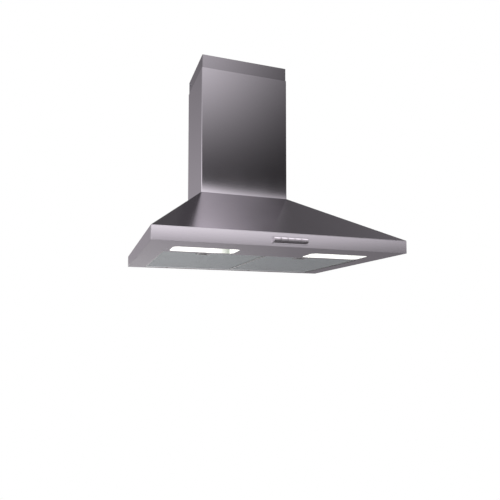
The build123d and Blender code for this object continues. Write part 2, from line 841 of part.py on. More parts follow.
with BuildPart() as blower_bracket:
    hanger_levels = (hanger_bottom, hanger_top)
    hanger_plate = (outlet_rear, outlet_rear + bracket_sheet)
    hanger_feet = (-back_sheet - bracket_sheet, -back_sheet)
    block((-hanger_half_width, hanger_half_width), hanger_plate, hanger_levels)
    for side, name in sides:
        leg = side * hanger_half_width
        block((leg, leg - side * bracket_sheet), (outlet_rear, -back_sheet), hanger_levels)
        block((leg - side * bracket_sheet, leg + side * hanger_foot), hanger_feet, hanger_levels)
        for level in hanger_screw_levels:
            rod((side * hanger_screw_x, outlet_rear, level), (0, 1, 0), screw_hole, bracket_sheet, Mode.SUBTRACT)
            foot_hole = (side * hanger_foot_x, hanger_feet[0], level)
            rod(foot_hole, (0, 1, 0), screw_hole, bracket_sheet, Mode.SUBTRACT)
save(blower_bracket, "blower_bracket")

with BuildPart() as impeller:
    with BuildSketch(Plane.YZ):
        with BuildLine(mode=Mode.PRIVATE):
            blade = ThreePointArc((blade_start, 0), blade_middle, blade_end)
        with Locations(axis):
            with PolarLocations(0, blade_count):
                SlotArc(blade, blade_thickness)
    extrude(amount=impeller_half_width, both=True)
    with BuildSketch(Plane.YZ):
        with Locations(axis):
            Circle(impeller_radius)
    extrude(amount=impeller_disc / 2, both=True)
    for side, name in sides:
        with BuildSketch(Plane.YZ.offset(side * impeller_half_width)):
            with Locations(axis):
                Circle(impeller_radius)
                Circle(impeller_radius - impeller_ring_width, mode=Mode.SUBTRACT)
        extrude(amount=side * impeller_ring)
    rod((-hub_length / 2, *axis), (1, 0, 0), hub_radius, hub_length)
    rod((-hub_length / 2, *axis), (1, 0, 0), shaft_radius + press_gap, hub_length, Mode.SUBTRACT)
save(impeller, "impeller")

motor_near = scroll_half_width + motor_stand_off
motor_far = motor_near + motor_length
shaft_start = -hub_length / 2 - shaft_tail
with BuildPart() as motor_shaft:
    rod((shaft_start, *axis), (1, 0, 0), shaft_radius, motor_far + shaft_tail - shaft_start)
save(motor_shaft, "motor_shaft")

with BuildPart() as motor_body:
    rod((motor_near, *axis), (1, 0, 0), motor_radius, motor_length)
    fillet(motor_body.edges().filter_by(GeomType.CIRCLE), motor_edge)
    rod((motor_near, *axis), (1, 0, 0), shaft_radius + seam_gap, motor_length, Mode.SUBTRACT)
    rod((motor_near, *axis), (1, 0, 0), bush_radius + press_gap, bush_length, Mode.SUBTRACT)
    rod((motor_far, *axis), (-1, 0, 0), bush_radius + press_gap, bush_length, Mode.SUBTRACT)
save(motor_body, "motor_body")

with BuildPart() as motor_bushes:
    for start in (motor_near, motor_far - bush_length):
        rod((start, *axis), (1, 0, 0), bush_radius, bush_length)
        rod((start, *axis), (1, 0, 0), shaft_radius + shaft_gap, bush_length, Mode.SUBTRACT)
save(motor_bushes, "motor_bushes")

ring_start = motor_near + motor_ring_offset
ring_inner = motor_radius + seam_gap
with BuildPart() as motor_bracket:
    with BuildSketch(Plane.YZ.offset(ring_start)):
        with Locations(axis):
            Circle(ring_inner + motor_ring)
            Circle(ring_inner, mode=Mode.SUBTRACT)
    extrude(amount=motor_ring_length)
    spoke_start = ring_inner + motor_ring / 2
    spoke_end = motor_leg_radius + motor_leg
    with BuildSketch(Plane.YZ.offset(ring_start)):
        with Locations(axis):
            with PolarLocations((spoke_start + spoke_end) / 2, motor_arm_count, 90):
                Rectangle(spoke_end - spoke_start, motor_arm_width)
    extrude(amount=motor_leg)
    with BuildSketch(Plane.YZ.offset(scroll_half_width)):
        with Locations(axis):
            with PolarLocations(motor_leg_radius + motor_leg / 2, motor_arm_count, 90):
                Rectangle(motor_leg, motor_arm_width)
    extrude(amount=ring_start + motor_leg - scroll_half_width)
    with BuildSketch(Plane.YZ.offset(scroll_half_width)):
        with Locations(axis):
            with PolarLocations(motor_leg_radius + (motor_leg + motor_foot) / 2, motor_arm_count, 90):
                Rectangle(motor_leg + motor_foot, motor_arm_width)
            with PolarLocations(motor_screw_radius, motor_arm_count, 90):
                Circle(screw_hole, mode=Mode.SUBTRACT)
    extrude(amount=motor_foot_sheet)
save(motor_bracket, "motor_bracket")

# Plenum plate: closes the canopy's top round the outlet, inside the chimney seat
collar_bore = collar_radius - collar_wall
pin_z = collar_plate_top + flap_level
pin_half_length = collar_radius - collar_wall / 2
outlet_centre = (0, outlet_y)
seat_half_width = chimney_width / 2 - side_inset - seam_gap
seat_front = -(chimney_depth - front_inset - seam_gap)
gland_y = -back_sheet - box_depth / 2
with BuildPart() as plenum_plate:
    with BuildSketch(Plane.XY.offset(outlet_top)):
        plate_inset = seat_sheet + seam_gap
        plate_half_width = seat_half_width - plate_inset
        with Locations((0, panel_inside)):
            Rectangle(2 * plate_half_width, panel_inside - seat_front - plate_inset, align=to_wall)
        with Locations(outlet_centre):
            Circle(collar_bore, mode=Mode.SUBTRACT)
            with GridLocations(2 * collar_screw_x, 2 * collar_screw_y, 2, 2):
                Circle(screw_hole, mode=Mode.SUBTRACT)
    extrude(amount=sheet)
    # The corner above the gland is cut away for the cable
    cable_corner = ((-plate_half_width, box_x + gland_nut), (gland_y - gland_nut, panel_inside))
    block(*cable_corner, (outlet_top, collar_bottom), Mode.SUBTRACT)
save(plenum_plate, "plenum_plate")

# Outlet collar with its damper: two half-round flaps on one pin
with BuildPart() as outlet_collar:
    with BuildSketch(Plane.XY.offset(collar_bottom)):
        with Locations(outlet_centre):
            RectangleRounded(collar_plate_size, collar_plate_size, collar_plate_corner)
            with GridLocations(2 * collar_screw_x, 2 * collar_screw_y, 2, 2):
                Circle(screw_hole, mode=Mode.SUBTRACT)
    extrude(amount=collar_plate)
    rod((*outlet_centre, collar_bottom), (0, 0, 1), collar_radius, collar_plate + collar_length)
    rod((*outlet_centre, collar_bottom), (0, 0, 1), collar_bore, collar_plate + collar_length, Mode.SUBTRACT)
    with BuildSketch(Plane.XY.offset(pin_z - flap_thickness / 2 - seam_gap)):
        with Locations(outlet_centre):
            Circle(collar_bore)
            Circle(collar_bore - flap_seat, mode=Mode.SUBTRACT)
    extrude(amount=-flap_seat_thickness)
    rod((-collar_radius, outlet_y, pin_z), (1, 0, 0), pin_radius + shaft_gap, 2 * collar_radius, Mode.SUBTRACT)
save(outlet_collar, "outlet_collar")

with BuildPart() as damper_pin:
    rod((-pin_half_length, outlet_y, pin_z), (1, 0, 0), pin_radius, 2 * pin_half_length)
save(damper_pin, "damper_pin")

for side, name in ((-1, "front"), (1, "rear")):
    first_knuckle = -knuckle_spread / 2 + side * knuckle_step / 2 - knuckle_length / 2
    flap_edge = knuckle_radius + 2 * seam_gap
    with BuildPart() as damper_flap:
        with BuildSketch(Plane.XY.offset(pin_z - flap_thickness / 2)):
            with Locations(outlet_centre):
                Circle(collar_bore - flap_gap)
            with Locations((0, outlet_y + side * flap_edge - side * collar_radius)):
                Rectangle(2 * collar_radius, 2 * collar_radius, mode=Mode.SUBTRACT)
        extrude(amount=flap_thickness)
        for start in (first_knuckle, first_knuckle + knuckle_spread):
            block(
                (start, start + knuckle_length),
                (outlet_y, outlet_y + side * (flap_edge + knuckle_radius)),
                (pin_z - flap_thickness / 2, pin_z + flap_thickness / 2),
            )
            rod((start, outlet_y, pin_z), (1, 0, 0), knuckle_radius, knuckle_length)
            rod((start, outlet_y, pin_z), (1, 0, 0), pin_radius + shaft_gap, knuckle_length, Mode.SUBTRACT)
    save(damper_flap, f"damper_flap_{name}")

# Electrics on the back panel: terminal box with its cable gland, run capacitor in a clip
box_edges = (box_x - box_width / 2, box_x + box_width / 2)
box_front = -back_sheet - box_depth
box_top = box_level + box_height
box_screw_points = [(box_x + end * box_screw_x, box_level + box_height / 2 + end * box_screw_z) for end, tip in sides]

with BuildPart() as terminal_box:
    block(box_edges, (box_front, -back_sheet), (box_level, box_top))
    block(
        (box_edges[0] + box_wall, box_edges[1] - box_wall),
        (box_front, -back_sheet - box_wall),
        (box_level + box_wall, box_top - box_wall),
        Mode.SUBTRACT,
    )
    for x, z in box_screw_points:
        rod((x, -back_sheet - box_wall, z), (0, -1, 0), box_boss_radius, box_depth - box_wall)
        rod((x, box_front, z), (0, 1, 0), screw_hole, box_depth - 2 * box_wall, Mode.SUBTRACT)
    rod((box_x, gland_y, box_top), (0, 0, -1), gland_thread + screw_gap, box_wall, Mode.SUBTRACT)
save(terminal_box, "terminal_box")

with BuildPart() as terminal_box_lid:
    block(box_edges, (box_front - box_wall, box_front), (box_level, box_top))
    for x, z in box_screw_points:
        rod((x, box_front, z), (0, -1, 0), screw_hole, box_wall, Mode.SUBTRACT)
save(terminal_box_lid, "terminal_box_lid")

gland_start = box_top - box_wall - gland_thread_length
gland_end = box_top + gland_nut_height + gland_dome_height
with BuildPart() as cable_gland:
    rod((box_x, gland_y, gland_start), (0, 0, 1), gland_thread, box_top - gland_start)
    with BuildSketch(Plane.XY.offset(box_top)):
        with Locations((box_x, gland_y)):
            RegularPolygon(gland_nut, 6)
    extrude(amount=gland_nut_height)
    with BuildSketch(Plane.XY.offset(box_top - box_wall)):
        with Locations((box_x, gland_y)):
            RegularPolygon(gland_nut, 6)
    extrude(amount=-gland_lock_height)
    rod((box_x, gland_y, box_top), (0, 0, 1), gland_dome, gland_nut_height + gland_dome_height)
    rod((box_x, gland_y, gland_start), (0, 0, 1), gland_bore, gland_end - gland_start, Mode.SUBTRACT)
save(cable_gland, "cable_gland")

capacitor_y = -back_sheet - capacitor_radius - capacitor_gap
with BuildPart() as capacitor:
    rod((capacitor_x, capacitor_y, capacitor_level), (0, 0, 1), capacitor_radius, capacitor_length)
save(capacitor, "capacitor")

with BuildPart() as capacitor_clip:
    with BuildSketch(Plane.XY.offset(clip_level - clip_height / 2)):
        with Locations((capacitor_x, capacitor_y)):
            Circle(clip_radius + bracket_sheet)
        with Locations((capacitor_x, -back_sheet)):
            Rectangle(2 * (clip_radius + bracket_sheet), -back_sheet - capacitor_y, align=to_wall)
            Rectangle(2 * (clip_radius + bracket_sheet + clip_foot), bracket_sheet, align=to_wall)
            Rectangle(2 * clip_radius, -back_sheet - capacitor_y, align=to_wall, mode=Mode.SUBTRACT)
        with Locations((capacitor_x, capacitor_y)):
            Circle(clip_radius, mode=Mode.SUBTRACT)
        with Locations((capacitor_x, 0)):
            Rectangle(2 * (clip_radius + bracket_sheet), 2 * back_sheet, mode=Mode.SUBTRACT)
    extrude(amount=clip_height)
    for side, name in sides:
        hole = (capacitor_x + side * clip_foot_x, -back_sheet, clip_level)
        rod(hole, (0, -1, 0), screw_hole, bracket_sheet, Mode.SUBTRACT)
save(capacitor_clip, "capacitor_clip")

# Chimney: seat frame in the canopy's top, lower section on it, upper section sliding inside
with BuildPart() as chimney_seat:
    with BuildSketch(Plane.XY.offset(canopy_top - seat_below)):
        seat_depth = panel_inside - seat_front
        with Locations((0, panel_inside - seat_depth / 2)):
            RectangleRounded(2 * seat_half_width, seat_depth, seat_corner)
        with Locations((0, panel_inside)):
            Rectangle(2 * (seat_half_width - seat_sheet), seat_depth - seat_sheet, align=to_wall, mode=Mode.SUBTRACT)
    extrude(amount=seat_above + seat_below)
save(chimney_seat, "chimney_seat")

with BuildPart() as lower_chimney:
    with BuildSketch(Plane.XY.offset(canopy_top)):
        with Locations((0, -chimney_depth / 2)):
            RectangleRounded(chimney_width, chimney_depth, fold_radius)
            RectangleRounded(
                chimney_width - 2 * sheet, chimney_depth - 2 * sheet, fold_radius - sheet, mode=Mode.SUBTRACT
            )
        Rectangle(chimney_width - 2 * return_flange, 2 * sheet, mode=Mode.SUBTRACT)
    extrude(amount=lower_chimney_length)
save(lower_chimney, "lower_chimney")

upper_inset = sheet + slide_gap
upper_width = chimney_width - 2 * upper_inset
upper_depth = chimney_depth - 2 * upper_inset
bracket_levels = (upper_chimney_top - bracket_drop - bracket_height, upper_chimney_top - bracket_drop)
bracket_middle = sum(bracket_levels) / 2
bracket_screw_y = -(bracket_step + bracket_reach) / 2
with BuildPart() as upper_chimney:
    with BuildSketch(Plane.XY.offset(upper_chimney_top - upper_chimney_length)):
        with Locations((0, -chimney_depth / 2)):
            RectangleRounded(upper_width, upper_depth, fold_radius)
            RectangleRounded(
                upper_width - 2 * sheet, upper_depth - 2 * sheet, fold_radius - sheet, mode=Mode.SUBTRACT
            )
        with Locations((0, -upper_inset)):
            Rectangle(upper_width - 2 * return_flange, 2 * sheet, mode=Mode.SUBTRACT)
    extrude(amount=upper_chimney_length)
    with BuildSketch(Plane.YZ.offset(-chimney_width / 2)):
        with Locations((-chimney_depth / 2, upper_chimney_top - vent_drop - vent_pitch * (vent_rows - 1) / 2)):
            with GridLocations(vent_spacing, vent_pitch, vent_columns, vent_rows):
                SlotOverall(vent_length, vent_width)
        with Locations((bracket_screw_y, bracket_middle)):
            Circle(screw_hole)
    extrude(amount=chimney_width, mode=Mode.SUBTRACT)
save(upper_chimney, "upper_chimney")

ear_x = upper_width / 2 - sheet - seam_gap
with BuildPart() as chimney_bracket:
    block((-bracket_half_width, bracket_half_width), (-bracket_sheet, 0), bracket_levels)
    for side, name in sides:
        step_x = side * bracket_half_width
        ear = side * ear_x
        inward = -side * bracket_sheet
        block((step_x, step_x + inward), (-bracket_step - bracket_sheet, 0), bracket_levels)
        block((step_x + inward, ear), (-bracket_step - bracket_sheet, -bracket_step), bracket_levels)
        block((ear, ear + inward), (-bracket_reach, -bracket_step), bracket_levels)
        rod((ear, bracket_screw_y, bracket_middle), (-side, 0, 0), screw_hole, bracket_sheet, Mode.SUBTRACT)
        hole = (side * bracket_hole_spacing / 2, 0, bracket_middle)
        rod(hole, (0, -1, 0), bracket_hole_radius, bracket_sheet, Mode.SUBTRACT)
save(chimney_bracket, "chimney_bracket")

# Fasteners
with BuildPart() as blower_screws:
    for point in ear_points:
        screw((-scroll_ear_thickness, *point), (-1, 0, 0), 2 * scroll_ear_thickness + screw_tail)
    for point in motor_screw_points:
        seat = (scroll_half_width + motor_foot_sheet, *point)
        screw(seat, (1, 0, 0), motor_foot_sheet + scroll_wall + screw_tail)
    for side, name in sides:
        for level in hanger_screw_levels:
            screw(
                (side * hanger_screw_x, outlet_rear + bracket_sheet, level),
                (0, 1, 0),
                bracket_sheet + scroll_wall + screw_tail,
            )
            screw(
                (side * hanger_foot_x, -back_sheet - bracket_sheet, level),
                (0, -1, 0),
                bracket_sheet + back_sheet - seam_gap,
            )
        for end, tip in sides:
            screw(
                (side * collar_screw_x, outlet_y + end * collar_screw_y, collar_plate_top),
                (0, 0, 1),
                collar_plate + sheet + scroll_wall + screw_tail,
            )
save(blower_screws, "blower_screws")

with BuildPart() as lamp_screws:
    for side, name in sides:
        for end, tip in sides:
            screw((side * lamp_spacing / 2 + end * lamp_ear_x, lamp_y, 2 * sheet), (0, 0, 1), 2 * sheet - seam_gap)
save(lamp_screws, "lamp_screws")

with BuildPart() as electric_screws:
    for x, z in box_screw_points:
        screw((x, box_front - box_wall, z), (0, -1, 0), box_wall + box_depth / 2)
    for side, name in sides:
        screw(
            (capacitor_x + side * clip_foot_x, -back_sheet - bracket_sheet, clip_level),
            (0, -1, 0),
            bracket_sheet + back_sheet - seam_gap,
        )
save(electric_screws, "electric_screws")

with BuildPart() as chimney_screws:
    for side, name in sides:
        screw(
            (side * upper_width / 2, bracket_screw_y, bracket_middle),
            (side, 0, 0),
            sheet + seam_gap + bracket_sheet + screw_tail,
        )
save(chimney_screws, "chimney_screws")
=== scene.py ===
import json
import math

import bpy
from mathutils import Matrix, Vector

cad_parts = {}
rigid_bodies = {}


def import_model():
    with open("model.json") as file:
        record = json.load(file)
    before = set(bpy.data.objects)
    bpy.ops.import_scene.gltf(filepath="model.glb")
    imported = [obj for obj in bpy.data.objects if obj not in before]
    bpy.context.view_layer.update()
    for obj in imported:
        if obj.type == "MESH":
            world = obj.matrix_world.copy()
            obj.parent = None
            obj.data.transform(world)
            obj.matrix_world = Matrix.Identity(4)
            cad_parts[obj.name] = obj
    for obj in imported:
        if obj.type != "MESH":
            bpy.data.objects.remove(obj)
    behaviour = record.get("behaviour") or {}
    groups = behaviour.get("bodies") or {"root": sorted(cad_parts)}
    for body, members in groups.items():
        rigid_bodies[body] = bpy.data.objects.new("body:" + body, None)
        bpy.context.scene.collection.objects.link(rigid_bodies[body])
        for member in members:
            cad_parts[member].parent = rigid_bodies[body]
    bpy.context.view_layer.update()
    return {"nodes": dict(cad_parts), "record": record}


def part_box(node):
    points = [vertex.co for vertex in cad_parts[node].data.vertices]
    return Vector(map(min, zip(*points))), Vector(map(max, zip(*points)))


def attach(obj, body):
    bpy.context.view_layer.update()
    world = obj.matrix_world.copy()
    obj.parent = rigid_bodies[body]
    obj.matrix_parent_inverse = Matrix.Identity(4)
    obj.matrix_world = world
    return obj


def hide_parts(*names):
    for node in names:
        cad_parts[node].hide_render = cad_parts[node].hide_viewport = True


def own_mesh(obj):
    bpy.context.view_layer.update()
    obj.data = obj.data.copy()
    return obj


# Wall mount range hood. Metres, +Z up, wall at y = 0, front towards -Y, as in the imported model.
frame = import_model()
nodes = frame["nodes"]
MM = 0.001


def linear(hex_colour):
    """sRGB hex to the linear colour that a shader takes."""
    channels = [int(hex_colour[i : i + 2], 16) / 255 for i in (1, 3, 5)]
    return tuple(c / 12.92 if c <= 0.04045 else ((c + 0.055) / 1.055) ** 2.4 for c in channels) + (1.0,)


def add(tree, kind, sockets=None, **settings):
    """Adds a node with its settings; a socket takes a value or another node's output."""
    node = tree.nodes.new(kind)
    for name, value in settings.items():
        setattr(node, name, value)
    for name, value in (sockets or {}).items():
        if isinstance(value, bpy.types.NodeSocket):
            tree.links.new(value, node.inputs[name])
        else:
            node.inputs[name].default_value = value
    return node


def set_stops(ramp, stops):
    """Gives a colour ramp its stops, each a position and a linear colour."""
    while len(ramp.elements) < len(stops):
        ramp.elements.new(1.0)
    for element, (position, colour) in zip(ramp.elements, stops):
        element.position = position
        element.color = colour


def start(name, colour, **sockets):
    """A material with one shader; returns it with its tree and shader."""
    material = bpy.data.materials.new(name)
    material.use_nodes = True
    shader = material.node_tree.nodes["Principled BSDF"]
    shader.inputs["Base Color"].default_value = linear(colour)
    for socket, value in sockets.items():
        shader.inputs[socket.replace("_", " ")].default_value = value
    return material, material.node_tree, shader


STAINLESS = "#D1CFD2"
# The way that the belt ran. Upright is a hair off true, so that level faces have a way across it too.
UPRIGHT = (0.001, 0.0007, 1)
SIDEWAYS = (1, 0, 0)


def brushed_stainless(name, colour, roughness, depth, grain=UPRIGHT):
    """Austenitic sheet ground with a fine belt: hair lines one way over a soft mirror, which they smear."""
    # Hair lines are about 0.1 mm wide; drawn wider so that they show
    hair_width = 0.35 * MM
    hair_length = 120 * MM
    # Handling marks dull the shine a little
    mark_size = 120 * MM
    mark_dulling = 0.02
    material, tree, shader = start(name, colour, Metallic=1.0, Anisotropic=0.9)
    shader.inputs["Specular Tint"].default_value = linear("#E6E4E6")
    point = add(tree, "ShaderNodeTexCoord").outputs["Object"]
    facing = add(tree, "ShaderNodeNewGeometry").outputs["True Normal"]
    # The way across the lines, in the sheet's own plane
    square = add(tree, "ShaderNodeVectorMath", {0: facing, 1: grain}, operation="CROSS_PRODUCT")
    across = add(tree, "ShaderNodeVectorMath", {0: square.outputs[0]}, operation="NORMALIZE").outputs[0]
    tree.links.new(across, shader.inputs["Tangent"])
    width = add(tree, "ShaderNodeVectorMath", {0: point, 1: across}, operation="DOT_PRODUCT")
    length = add(tree, "ShaderNodeVectorMath", {0: point, 1: grain}, operation="DOT_PRODUCT")
    flat = add(tree, "ShaderNodeCombineXYZ", {"X": width.outputs["Value"], "Y": length.outputs["Value"]})
    drawn = add(
        tree,
        "ShaderNodeVectorMath",
        {0: flat.outputs[0], 1: (1 / hair_width, 1 / hair_length, 1)},
        operation="MULTIPLY",
    )
    hair = add(
        tree,
        "ShaderNodeTexNoise",
        {"Vector": drawn.outputs[0], "Scale": 1.0, "Detail": 2.0, "Roughness": 0.55},
        noise_dimensions="2D",
    )
    marks = add(tree, "ShaderNodeTexNoise", {"Vector": point, "Scale": 1 / mark_size, "Detail": 2.0})
    dull = add(
        tree,
        "ShaderNodeMapRange",
        {
            "Value": marks.outputs["Fac"],
            "From Min": 0.35,
            "From Max": 0.75,
            "To Min": roughness,
            "To Max": roughness + mark_dulling,
        },
    )
    tree.links.new(dull.outputs[0], shader.inputs["Roughness"])
    relief = add(tree, "ShaderNodeBump", {"Height": hair.outputs["Fac"], "Strength": 1.0, "Distance": depth})
    tree.links.new(relief.outputs["Normal"], shader.inputs["Normal"])
    return material


def galvanised_steel():
    """Hot-dip zinc on sheet: dull grey with a spangle of crystals that each catch the light apart."""
    spangle_size = 9 * MM
    material, tree, shader = start("galvanised_steel", "#BEC2C5", Metallic=1.0)
    point = add(tree, "ShaderNodeTexCoord").outputs["Object"]
    spangle = add(tree, "ShaderNodeTexVoronoi", {"Vector": point, "Scale": 1 / spangle_size})
    shade = add(tree, "ShaderNodeRGBToBW", {"Color": spangle.outputs["Color"]})
    tone = add(
        tree,
        "ShaderNodeMix",
        {"Factor": shade.outputs[0], "A": linear("#B4B8BC"), "B": linear("#C8CBCE")},
        data_type="RGBA",
    )
    tree.links.new(tone.outputs["Result"], shader.inputs["Base Color"])
    gloss = add(tree, "ShaderNodeMapRange", {"Value": shade.outputs[0], "To Min": 0.36, "To Max": 0.46})
    tree.links.new(gloss.outputs[0], shader.inputs["Roughness"])
    return material


def mill_aluminium(name, colour, roughness, line_width):
    """Rolled aluminium as it leaves the mill: pale, satin, with faint rolling lines."""
    # Rolling lines are about 0.2 mm wide; drawn wider so that they show
    line_length = 30 * MM
    line_depth = 0.1 * MM
    spread = 0.08
    material, tree, shader = start(name, colour, Metallic=1.0)
    point = add(tree, "ShaderNodeTexCoord").outputs["Object"]
    scale = (1 / line_length, 1 / line_width, 1 / line_width)
    stretched = add(tree, "ShaderNodeMapping", {"Vector": point, "Scale": scale})
    lines = add(tree, "ShaderNodeTexNoise", {"Vector": stretched.outputs[0], "Scale": 1.0, "Detail": 3.0})
    gloss = add(
        tree,
        "ShaderNodeMapRange",
        {"Value": lines.outputs["Fac"], "To Min": roughness - spread, "To Max": roughness + spread},
    )
    tree.links.new(gloss.outputs[0], shader.inputs["Roughness"])
    relief = add(
        tree, "ShaderNodeBump", {"Height": lines.outputs["Fac"], "Strength": 0.05, "Distance": line_depth}
    )
    tree.links.new(relief.outputs["Normal"], shader.inputs["Normal"])
    return material


def moulded_plastic(name, colour, roughness, pit_size, metallic=0.0, pit_depth=0.012 * MM):
    """Injection moulding, or stoved paint as even: one colour, silvered or not, with a finely pitted skin."""
    # Pits are about 0.1 mm across; drawn larger so that they show
    spread = 0.07
    material, tree, shader = start(name, colour, Metallic=metallic)
    point = add(tree, "ShaderNodeTexCoord").outputs["Object"]
    pits = add(tree, "ShaderNodeTexNoise", {"Vector": point, "Scale": 1 / pit_size, "Detail": 2.0})
    gloss = add(
        tree,
        "ShaderNodeMapRange",
        {"Value": pits.outputs["Fac"], "To Min": roughness - spread, "To Max": roughness + spread},
    )
    tree.links.new(gloss.outputs[0], shader.inputs["Roughness"])
    relief = add(
        tree, "ShaderNodeBump", {"Height": pits.outputs["Fac"], "Strength": 1.0, "Distance": pit_depth}
    )
    tree.links.new(relief.outputs["Normal"], shader.inputs["Normal"])
    return material


def bright_metal(name, colour, roughness, mark_size):
    """Metal as turned, drawn, sintered or plated: bright, with small marks that break up its shine."""
    # Tool marks are about 0.1 mm wide; drawn larger so that they show
    material, tree, shader = start(name, colour, Metallic=1.0)
    point = add(tree, "ShaderNodeTexCoord").outputs["Object"]
    marks = add(tree, "ShaderNodeTexNoise", {"Vector": point, "Scale": 1 / mark_size, "Detail": 3.0})
    gloss = add(
        tree,
        "ShaderNodeMapRange",
        {"Value": marks.outputs["Fac"], "To Min": roughness - 0.06, "To Max": roughness + 0.08},
    )
    tree.links.new(gloss.outputs[0], shader.inputs["Roughness"])
    return material


def white_enamel():
    """Stove enamel inside the lamp housing: clean white with a slight orange peel."""
    peel_size = 2 * MM
    peel_depth = 0.1 * MM
    material, tree, shader = start("white_enamel", "#F4F4F0", Roughness=0.35)
    point = add(tree, "ShaderNodeTexCoord").outputs["Object"]
    peel = add(tree, "ShaderNodeTexNoise", {"Vector": point, "Scale": 1 / peel_size, "Detail": 1.0})
    relief = add(
        tree, "ShaderNodeBump", {"Height": peel.outputs["Fac"], "Strength": 0.05, "Distance": peel_depth}
    )
    tree.links.new(relief.outputs["Normal"], shader.inputs["Normal"])
    return material


def frosted_glass(name, holder_shade_colour):
    """Pressed soda glass, sand-blasted inside: an even white glow, with the lamp holder's shade painted into
    it as a dimmer band.
    """
    # Blasted pits are about 0.1 mm across; drawn larger so that they show
    pit_size = 0.6 * MM
    pit_depth = 0.1 * MM
    # The holder's soft shade: where along the lens it lies, from the left end, and how far it leans
    bright = linear("#F6F7F2")
    holder_shade = linear(holder_shade_colour)
    stops = [(0.0, bright), (0.62, bright), (0.775, holder_shade), (0.795, holder_shade), (0.81, bright)]
    lean = -0.135
    material, tree, shader = start(name, "#F6F7F4", Roughness=0.3, IOR=1.5, Transmission_Weight=0.1)
    place = add(tree, "ShaderNodeTexCoord")
    share = add(tree, "ShaderNodeSeparateXYZ", {0: place.outputs["Generated"]})
    leaning = add(
        tree,
        "ShaderNodeMath",
        {0: share.outputs["Y"], 1: lean, 2: share.outputs["X"]},
        operation="MULTIPLY_ADD",
    )
    # The holder's shade is painted in here, into both the glow and the base colour
    shade = add(tree, "ShaderNodeValToRGB", {"Fac": leaning.outputs[0]})
    set_stops(shade.color_ramp, stops)
    tree.links.new(shade.outputs["Color"], shader.inputs["Emission Color"])
    shader.inputs["Emission Strength"].default_value = 0.85
    tree.links.new(shade.outputs["Color"], shader.inputs["Base Color"])
    pits = add(
        tree, "ShaderNodeTexNoise", {"Vector": place.outputs["Object"], "Scale": 1 / pit_size, "Detail": 2.0}
    )
    relief = add(
        tree, "ShaderNodeBump", {"Height": pits.outputs["Fac"], "Strength": 0.05, "Distance": pit_depth}
    )
    tree.links.new(relief.outputs["Normal"], shader.inputs["Normal"])
    return material


def opal_bulb():
    """Opal lamp glass with the lamp on: glows evenly, with a faint cloud."""
    cloud_size = 15 * MM
    material, tree, shader = start("opal_bulb_glass", "#FFFDF6", Roughness=0.2)
    shader.inputs["Emission Color"].default_value = linear("#FFFBF2")
    point = add(tree, "ShaderNodeTexCoord").outputs["Object"]
    cloud = add(tree, "ShaderNodeTexNoise", {"Vector": point, "Scale": 1 / cloud_size, "Detail": 1.0})
    glow = add(tree, "ShaderNodeMapRange", {"Value": cloud.outputs["Fac"], "To Min": 9.0, "To Max": 11.0})
    tree.links.new(glow.outputs[0], shader.inputs["Emission Strength"])
    return material


# One finish for each material slot of the record: its colour, its roughness and then its texture
finishes = {
    "brushed_stainless": brushed_stainless("brushed_stainless_canopy", STAINLESS, 0.15, 0.012 * MM),
    "galvanised_steel": galvanised_steel(),
    "filter_aluminium": mill_aluminium("mill_aluminium", "#D0D1CD", 0.14, 1.5 * MM),
    "latch_plastic": moulded_plastic("grey_abs", "#CFCFCD", 0.5, 0.5 * MM),
    "button_plastic": moulded_plastic("silver_abs", "#C9C6C9", 0.27, 0.5 * MM, 0.9, 0.001 * MM),
    "bezel_plastic": moulded_plastic("silver_abs_bezel", STAINLESS, 0.16, 0.5 * MM, 1.0, 0.001 * MM),
    "switch_plastic": moulded_plastic("black_pbt", "#2A2A2C", 0.55, 0.6 * MM),
    "white_reflector": white_enamel(),
    # The darker colour given to the lens is the lamp holder's painted shade
    "lamp_glass": frosted_glass("frosted_glass", "#A2A99C"),
    "bulb_glass": opal_bulb(),
    "holder_plastic": moulded_plastic("grey_phenolic", "#8E8C86", 0.5, 0.8 * MM),
    "spring_steel": bright_metal("drawn_spring_steel", "#B6B5B8", 0.28, 0.5 * MM),
    "scroll_plastic": moulded_plastic("black_polypropylene", "#3A3A3D", 0.55, 0.8 * MM),
    "impeller_plastic": moulded_plastic("grey_polypropylene", "#6A6A6E", 0.5, 0.8 * MM),
    "shaft_steel": bright_metal("ground_steel", "#C4C4C8", 0.22, 0.6 * MM),
    "motor_steel": moulded_plastic("black_painted_steel", "#55575B", 0.45, 1.0 * MM),
    "bronze": bright_metal("sintered_bronze", "#A9844B", 0.45, 0.6 * MM),
    "capacitor_plastic": moulded_plastic("white_polypropylene", "#D5D4CF", 0.45, 0.8 * MM),
    "zinc_screws": bright_metal("zinc_plated_steel", "#C2C4C8", 0.3, 0.8 * MM),
}
# Pieces with a finish of their own. The grain is upright on the chimney and runs side to side underneath.
panel_steel = brushed_stainless("brushed_stainless_panel", STAINLESS, 0.14, 0.006 * MM, SIDEWAYS)
own_finishes = {
    "lower_chimney": brushed_stainless("brushed_stainless_chimney", STAINLESS, 0.08, 0.006 * MM),
    # The upper chimney's sheet is coloured darker than the lower one's
    "upper_chimney": brushed_stainless("brushed_stainless_upper_chimney", "#AFADB0", 0.08, 0.006 * MM),
    "light_panel": panel_steel,
    "side_rail_left": panel_steel,
    "side_rail_right": panel_steel,
    "rear_rail": brushed_stainless("brushed_stainless_rear_rail", STAINLESS, 0.08, 0.004 * MM, SIDEWAYS),
    # The right lens's painted holder shade is only faint
    "lamp_lens_right": frosted_glass("frosted_glass_right", "#EEF0EA"),
}

for piece in frame["record"]["subparts"]:
    node = nodes[piece["node"]]
    node.data.materials.clear()
    node.data.materials.append(own_finishes.get(piece["node"], finishes[piece["material_slot"]]))


def solid(name, verts, faces):
    """A mesh piece in the scene."""
    mesh = bpy.data.meshes.new(name)
    mesh.from_pydata(verts, [], faces)
    mesh.update()
    piece = bpy.data.objects.new(name, mesh)
    bpy.context.scene.collection.objects.link(piece)
    return piece


